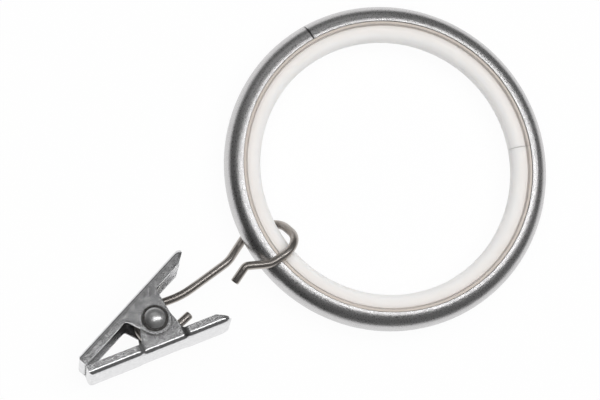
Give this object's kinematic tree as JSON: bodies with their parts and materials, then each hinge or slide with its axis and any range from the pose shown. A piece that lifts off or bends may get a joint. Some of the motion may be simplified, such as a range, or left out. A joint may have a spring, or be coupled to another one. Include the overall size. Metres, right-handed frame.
{
  "type": "curtain ring with clip",
  "caption": "Steel curtain ring with a nylon liner, a bent wire hook and a sprung clip that grips the curtain's edge.",
  "frame": {"origin": "centre of the ring's bore, half way through its thickness", "axes": "+Z along the ring's axis, the hook and the clip towards -Y, as the ring lies on its side"},
  "size_m": [0.0548, 0.0886, 0.0105],
  "materials": {
    "satin_steel": "satin nickel plate",
    "nylon": "smooth, slightly translucent",
    "hook_steel": "drawn wire, nickel plate",
    "jaw_steel": "tumbled nickel plate",
    "rivet_steel": "polished nickel plate",
    "spring_steel": "plain drawn wire"
  },
  "bodies": {
    "ring": {"metal_ring": "satin_steel", "ring_liner": "nylon"},
    "hook": {"hook_wire": "hook_steel"},
    "clip_base": {"lower_jaw": "jaw_steel", "pivot_rivet": "rivet_steel", "torsion_spring": "spring_steel"},
    "clip_top": {"upper_jaw": "jaw_steel"}
  },
  "joints": [
    {"name": "hook_travel", "type": "hinge", "parent": "ring", "child": "hook", "pos_m": [0, 0, 0], "axis": [0, 0, 1], "continuous": true},
    {"name": "clip_swing", "type": "hinge", "parent": "hook", "child": "clip_base", "pos_m": [-0.00045, -0.0475, 0.00085], "axis": [-0.1392, 0, 0.9903], "range_deg": [-2, 30]},
    {"name": "jaw_open", "type": "hinge", "parent": "clip_base", "child": "clip_top", "pos_m": [-0.00045, -0.0475, 0.00085], "axis": [0.1392, 0, -0.9903], "range_deg": [0, 18], "stiffness_Nm_per_rad": 0.004, "springref_deg": -40.11, "deforming": ["torsion_spring"]}
  ]
}
